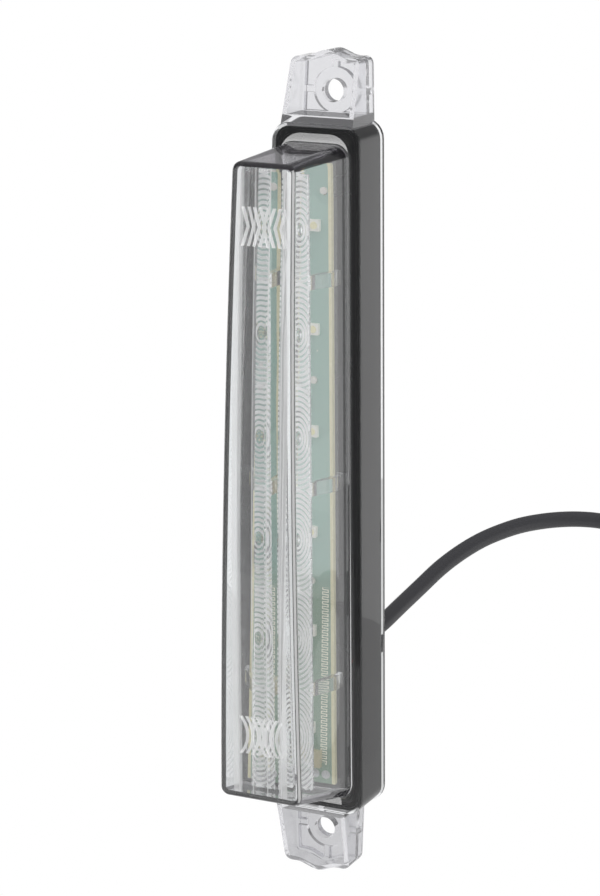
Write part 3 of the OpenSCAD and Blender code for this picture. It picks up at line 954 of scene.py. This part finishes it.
@dataclass
class Lead:
    """Round two-core lead: free stretch, three spare turns under a tie, tail and bare end."""

    diameter: float = 5.0
    route: Sequence[Point] = (
        (0, 8, -57.5), (0, 14, -57.5), (0.4, 20, -57.1), (1.4, 26, -55.9), (2.7, 32, -54.2),
        (3.8, 41, -51.9), (5.6, 52, -48.7), (8, 62, -45), (11, 71, -42), (14.2, 80, -39.9),
        (17.6, 88, -38.7), (21.2, 96, -38.1), (25.4, 103, -38), (30, 109, -38.2),
        (35, 114, -38.7), (40.4, 118, -39.6), (46.2, 121.2, -41.2), (52, 123.6, -44),
        (57.6, 125, -48.4), (62.4, 125.4, -54.4), (65.6, 124.8, -61.6), (66.8, 123.8, -70),
        (67, 123, -79), (67, 123, -88), (67, 123, -96))
    coil_at: Point = (67.0, 93.0, -96.0)
    coil_r: float = 30.0
    coil_turns: int = 3
    coil_step: float = 5.2
    tail: float = 34.0
    route_steps: int = 4
    turn_points: int = 48
    tail_points: int = 4
    roundness: int = 6
    spare: Sequence[str] = ("cable_tie", "end_core_red", "end_core_black", "ferrule_1", "ferrule_2")

    def smooth_route(self) -> List[Vector]:
        """Lay one smooth curve through the route's own points.

        Returns:
            The points of the free stretch, in millimetres.
        """
        pts = [Vector(p) for p in self.route]
        ends = [2 * pts[0] - pts[1]] + pts + [2 * pts[-1] - pts[-2]]
        out: List[Vector] = []
        for i in range(1, len(ends) - 2):
            p0, p1, p2, p3 = ends[i - 1 : i + 3]
            for k in range(self.route_steps):
                t = k / self.route_steps
                out.append(0.5 * (2 * p1 + (p2 - p0) * t + (2 * p0 - 5 * p1 + 4 * p2 - p3) * t * t
                                  + (3 * p1 - p0 - 3 * p2 + p3) * t ** 3))
        return out

    def path(self) -> List[Vector]:
        """Follow the lead from the gland to the end of the sheath.

        Returns:
            The points of the whole centreline, in millimetres.
        """
        line = self.smooth_route()
        cx, cy, cz = self.coil_at
        for k in range(self.coil_turns * self.turn_points + 1):
            a = 2 * math.pi * k / self.turn_points
            line.append(Vector((cx + self.coil_step * k / self.turn_points,
                                cy + self.coil_r * math.cos(a), cz - self.coil_r * math.sin(a))))
        end = line[-1]
        for k in range(1, self.tail_points + 1):
            line.append(end + Vector((0, 0, -self.tail * k / self.tail_points)))
        return line

    def build(self, nodes: Dict[str, Piece], sheath: Material) -> None:
        """Args:
            nodes: the frame's objects by node name.
            sheath: the sheath's material.
        """
        line = self.path()
        curve = bpy.data.curves.new("lead", "CURVE")
        curve.dimensions = "3D"
        curve.bevel_depth = self.diameter / 2 * MM
        curve.bevel_resolution = self.roundness
        curve.use_fill_caps = True
        spline = curve.splines.new("POLY")
        spline.points.add(len(line) - 1)
        for point, p in zip(spline.points, line):
            point.co = (*(p * MM), 1.0)
        lead = bpy.data.objects.new("lead", curve)
        bpy.context.scene.collection.objects.link(lead)
        dress(lead, sheath)
        # What lies outside the view doesn't come back into it as a dark patch in the skirt
        for obj in [lead] + [nodes[n] for n in self.spare]:
            obj.visible_glossy = False
        stand_for(lead, "cable_sheath", "cable", "cable_coil", "cable_tail")


# The lamp


@dataclass
class PressedPart:
    """A copy of a frame's part, a hair bigger, so that it bites into the clear cover.

    On the real lamp the black part is welded to the cover, so there is no film of air between
    them and its black shows clean through the clear wall. Growth is the new size over the old
    one along each axis.
    """

    node: str
    piece: str
    slot: str
    growth: Point
    middle: Point = (0.0, 0.0, 1.0)
    smooth_deg: float = 30.0

    def build(self, nodes: Dict[str, Piece], material: Material) -> None:
        """Grow a welded copy of the node about the body's middle.

        Args:
            nodes: the frame's objects by node name.
            material: the part's material.
        """
        obj = welded_copy(nodes[self.node], self.piece)
        bpy.ops.object.mode_set(mode="EDIT")
        bpy.ops.mesh.select_all(action="SELECT")
        bpy.ops.transform.resize(value=self.growth, center_override=Vector(self.middle) * MM)
        bpy.ops.object.mode_set(mode="OBJECT")
        bpy.ops.object.shade_smooth_by_angle(angle=math.radians(self.smooth_deg))
        dress(obj, material)
        stand_for(obj, self.slot, self.node)


@dataclass
class Cover:
    """The moulded clear cover: the frame's own shape, welded and smoothed so that it bends light."""

    smooth_deg: float = 35.0
    flatness: int = 100

    def build(self, nodes: Dict[str, Piece], material: Material) -> None:
        """Copy the node and smooth it.

        Args:
            nodes: the frame's objects by node name.
            material: the clear material.
        """
        obj = welded_copy(nodes["lens_cover"], "clear_cover")
        bpy.ops.object.shade_smooth_by_angle(angle=math.radians(self.smooth_deg))
        # Large faces stay flat and only the small ones between them round the light
        flat = obj.modifiers.new("flat_faces", "WEIGHTED_NORMAL")
        flat.mode, flat.weight, flat.keep_sharp = "FACE_AREA", self.flatness, True
        bpy.ops.object.modifier_apply(modifier=flat.name)
        dress(obj, material)
        stand_for(obj, "clear_plastic", "lens_cover")


@dataclass
class RingStrip:
    """The light strip: a narrow clear bar that widens downwards, with oval rings round each LED.

    The frame's solid has the same bar, ridges and legs with round rings. Its legs are kept.
    """

    half_mm: float = 3.5
    slope: float = 3.6 / 198
    long_mm: float = 87.6
    base_mm: float = 1.5
    ridge_mm: float = 0.5
    solid_ridge_mm: float = 0.55
    pitch_mm: float = 1.45
    cell_mm: float = 29.0
    squash: float = 0.54
    across: int = 60
    along: int = 720
    smooth_deg: float = 35.0
    cut_mm: float = 0.001

    def half(self, z: float) -> float:
        """Half the bar's width at a height, both in millimetres."""
        return self.half_mm - z * self.slope

    def ridge(self, x: float, z: float) -> float:
        """Find how high the rings stand over the bar's face.

        Args:
            x: distance from the bar's middle, in millimetres.
            z: height, in millimetres.

        Returns:
            The height, as symmetric ridges of equal pitch round the middle of each cell.
        """
        centred = z % self.cell_mm - self.cell_mm / 2
        turns = math.hypot(x / self.squash, centred) / self.pitch_mm
        return self.ridge_mm * (1.0 - abs(2.0 * (turns % 1.0) - 1.0))

    def legs(self, node: Piece, side: int) -> Piece:
        """Cut the legs of one side off a copy of the frame's solid.

        Args:
            node: the frame's strip.
            side: 1 for the right side, -1 for the left.

        Returns:
            The three legs as one closed mesh object.
        """
        obj = welded_copy(node, "strip_legs")
        bpy.ops.object.mode_set(mode="EDIT")
        bpy.ops.mesh.select_all(action="SELECT")
        bpy.ops.mesh.bisect(plane_co=(side * self.half_mm * MM, 0.0, 0.0),
                            plane_no=Vector((side, 0.0, self.slope)).normalized(),
                            use_fill=True, clear_inner=True, threshold=self.cut_mm * MM)
        bpy.ops.object.mode_set(mode="OBJECT")
        return obj

    def bar(self, front: float) -> Piece:
        """Shape the ringed face from a grid, and close the bar behind it.

        Args:
            front: place of the face under the rings, in millimetres along Y.

        Returns:
            The bar, a closed mesh object.
        """
        deselect_all()
        bpy.ops.mesh.primitive_grid_add(x_subdivisions=self.across, y_subdivisions=self.along, size=2.0)
        obj = bpy.context.object
        obj.name = obj.data.name = "ring_lens_strip"
        for vert in obj.data.vertices:
            z = vert.co.y * self.long_mm
            x = vert.co.x * self.half(z)
            vert.co = Vector((x, front - self.ridge(x, z), z)) * MM
        make_active(obj)
        bpy.ops.object.mode_set(mode="EDIT")
        bpy.ops.mesh.select_mode(type="EDGE")
        bpy.ops.mesh.select_all(action="SELECT")
        bpy.ops.mesh.region_to_loop()
        bpy.ops.mesh.extrude_edges_move()
        bpy.ops.object.mode_set(mode="OBJECT")
        for vert in obj.data.vertices:
            if vert.select:
                vert.co.y = (front + self.base_mm) * MM
        bpy.ops.object.mode_set(mode="EDIT")
        bpy.ops.mesh.edge_face_add()
        bpy.ops.mesh.select_all(action="SELECT")
        bpy.ops.mesh.normals_make_consistent(inside=False)
        bpy.ops.object.mode_set(mode="OBJECT")
        return obj

    def build(self, nodes: Dict[str, Piece], material: Material) -> None:
        """Make the bar and join the legs to it.

        Args:
            nodes: the frame's objects by node name.
            material: the clear material.
        """
        node = nodes["optic_strip"]
        legs = [self.legs(node, side) for side in (1, -1)]
        obj = self.bar(min(v.co.y for v in node.data.vertices) / MM + self.solid_ridge_mm)
        for leg in legs:
            leg.select_set(True)
        obj.select_set(True)
        bpy.context.view_layer.objects.active = obj
        bpy.ops.object.join()
        bpy.ops.object.shade_smooth_by_angle(angle=math.radians(self.smooth_deg))
        dress(obj, material)
        stand_for(obj, "clear_optic_plastic", "optic_strip")


@dataclass
class Board:
    """The board with its LEDs, chips and joints, in the frame's own shapes."""

    leds: int = 6
    chips: Sequence[str] = ("protection_diode", "driver_chip", "resistor_1", "resistor_2",
                            "resistor_3")

    def build(self, nodes: Dict[str, Piece], epoxy: Material) -> None:
        """Dress the board and what is soldered to it.

        Args:
            nodes: the frame's objects by node name.
            epoxy: the chips' material.
        """
        dress(nodes["circuit_board"], SolderMask().build())
        package = LedPackage().build()
        for k in range(1, self.leds + 1):
            dress(nodes[f"led_{k}"], package)
        for chip in self.chips:
            dress(nodes[chip], epoxy)
        dress(nodes["capacitor"], GrainedFinish("ceramic", "#b5ad84", 0.4).build())
        dress(nodes["solder_joints"], GrainedFinish("solder", "#c9cacc", 0.3).build())


@dataclass
class LeadFittings:
    """What holds and ends the lead, in the frame's own shapes: gland, tie, cores and ferrules."""

    red: str = "#a01c16"
    tin: str = "#c6c7c9"

    def build(self, nodes: Dict[str, Piece], sheath: Material, black: Material) -> None:
        """Dress the fittings.

        Args:
            nodes: the frame's objects by node name.
            sheath: the lead's own material, which the gland shares.
            black: the material of the tie and the black cores.
        """
        red = GrainedFinish("core_red", self.red, 0.4).build()
        tin = GrainedFinish("tinned_brass", self.tin, 0.25).build()
        for material, names in ((red, ("core_red", "end_core_red")),
                                (tin, ("ferrule_1", "ferrule_2")),
                                (black, ("core_black", "end_core_black", "cable_tie")),
                                (sheath, ("cable_gland",))):
            for name in names:
                dress(nodes[name], material)


def set_up_view(bounces: int = 24, mirrors: int = 8) -> None:
    """Show colours as they are written, and follow light through all the clear walls.

    Args:
        bounces: how many clear surfaces a ray may pass.
        mirrors: how many reflections it may take.
    """
    scene = bpy.context.scene
    scene.view_settings.view_transform = "Standard"
    scene.cycles.max_bounces = scene.cycles.transmission_bounces = bounces
    scene.cycles.transparent_max_bounces = bounces
    scene.cycles.glossy_bounces = mirrors


def main() -> None:
    """Build the scene in order."""
    logging.basicConfig(level=logging.INFO, format="%(message)s")
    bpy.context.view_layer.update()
    nodes = frame["nodes"]
    set_up_view()
    Viewpoint().build()
    Studio().build()
    sheath = GrainedFinish("pvc_sheath", "#2b2b2e", 0.42, 0.4, 0.2).build()
    Lead().build(nodes, sheath)
    Cover().build(nodes, PrismaticAcrylic().build())
    RingStrip().build(nodes, RingLens().build())
    PressedPart("housing", "black_housing", "black_plastic", (1.0109, 1.0036, 1.0016)).build(
        nodes, HousingPlastic().build())
    PressedPart("seal", "rim_seal", "seal_foam", (1.0, 1.0036, 1.0)).build(
        nodes, GrainedFinish("seal_foam", "#1c1c1e", 0.8).build())
    epoxy = GrainedFinish("moulded_epoxy", "#1a1a1b", 0.5).build()
    Board().build(nodes, epoxy)
    LeadFittings().build(nodes, sheath, epoxy)


if __name__ == "__main__":
    main()
